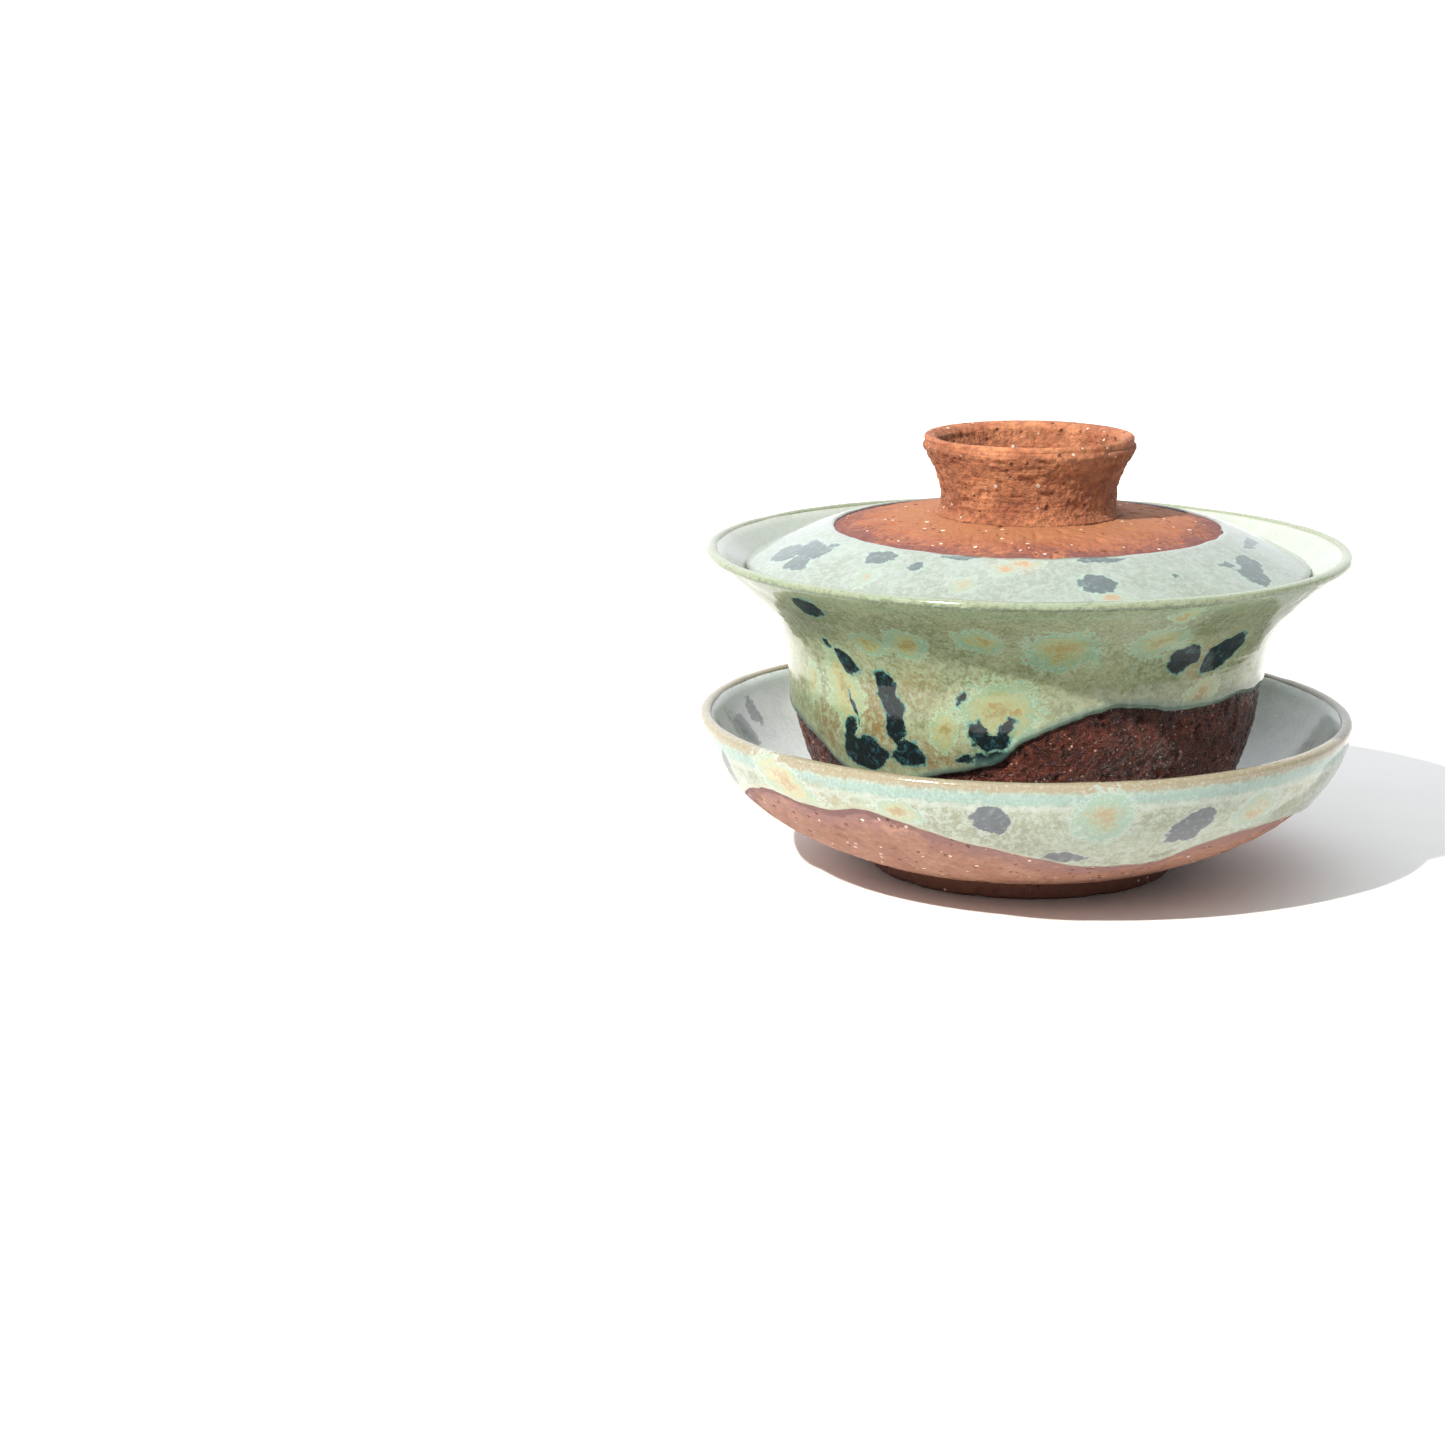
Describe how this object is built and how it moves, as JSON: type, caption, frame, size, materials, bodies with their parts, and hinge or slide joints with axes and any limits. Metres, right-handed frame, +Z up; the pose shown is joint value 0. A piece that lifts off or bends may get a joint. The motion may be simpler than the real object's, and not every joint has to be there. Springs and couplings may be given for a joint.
{
  "type": "gaiwan",
  "caption": "Lidded handleless tea cup with a flared rim, standing in a footed saucer, with a domed lid and a hollow ring knob; speckled glaze stops at a wavy line above bare stoneware.",
  "frame": {"origin": "centre of the saucer's foot ring, on the table", "axes": "+Z up through the knob; -Y is the front, +X its right"},
  "size_m": [0.1064, 0.1064, 0.0708],
  "materials": {
    "saucer_clay": "unglazed groggy stoneware, salmon-red",
    "cup_clay": "unglazed groggy stoneware, fired dark red-brown",
    "lid_clay": "unglazed groggy stoneware, orange-brown",
    "knob_clay": "unglazed, rough torn throwing marks",
    "saucer_glaze": "glossy sage glaze with speckle and ring-shaped spots",
    "cup_glaze": "glossy sage glaze with speckle and ring-shaped spots",
    "lid_glaze": "glossy pale mint glaze with few spots",
    "liner_glaze": "glossy grey-white liner glaze"
  },
  "bodies": {
    "saucer": {"saucer_body": "saucer_clay", "saucer_liner_glaze": "liner_glaze", "saucer_outer_glaze": "saucer_glaze"},
    "cup": {"cup_body": "cup_clay", "cup_liner_glaze": "liner_glaze", "cup_outer_glaze": "cup_glaze"},
    "lid": {"lid_body": "lid_clay", "lid_outer_glaze": "lid_glaze", "lid_under_glaze": "liner_glaze", "lid_knob": "knob_clay"}
  },
  "joints": [
    {"name": "cup_lift", "type": "slide", "parent": "saucer", "child": "cup", "axis": [0, 0, 1], "range_m": [0, 0.04]},
    {"name": "lid_lift", "type": "slide", "parent": "cup", "child": "lid", "axis": [0, 0, 1], "range_m": [0, 0.04]}
  ]
}
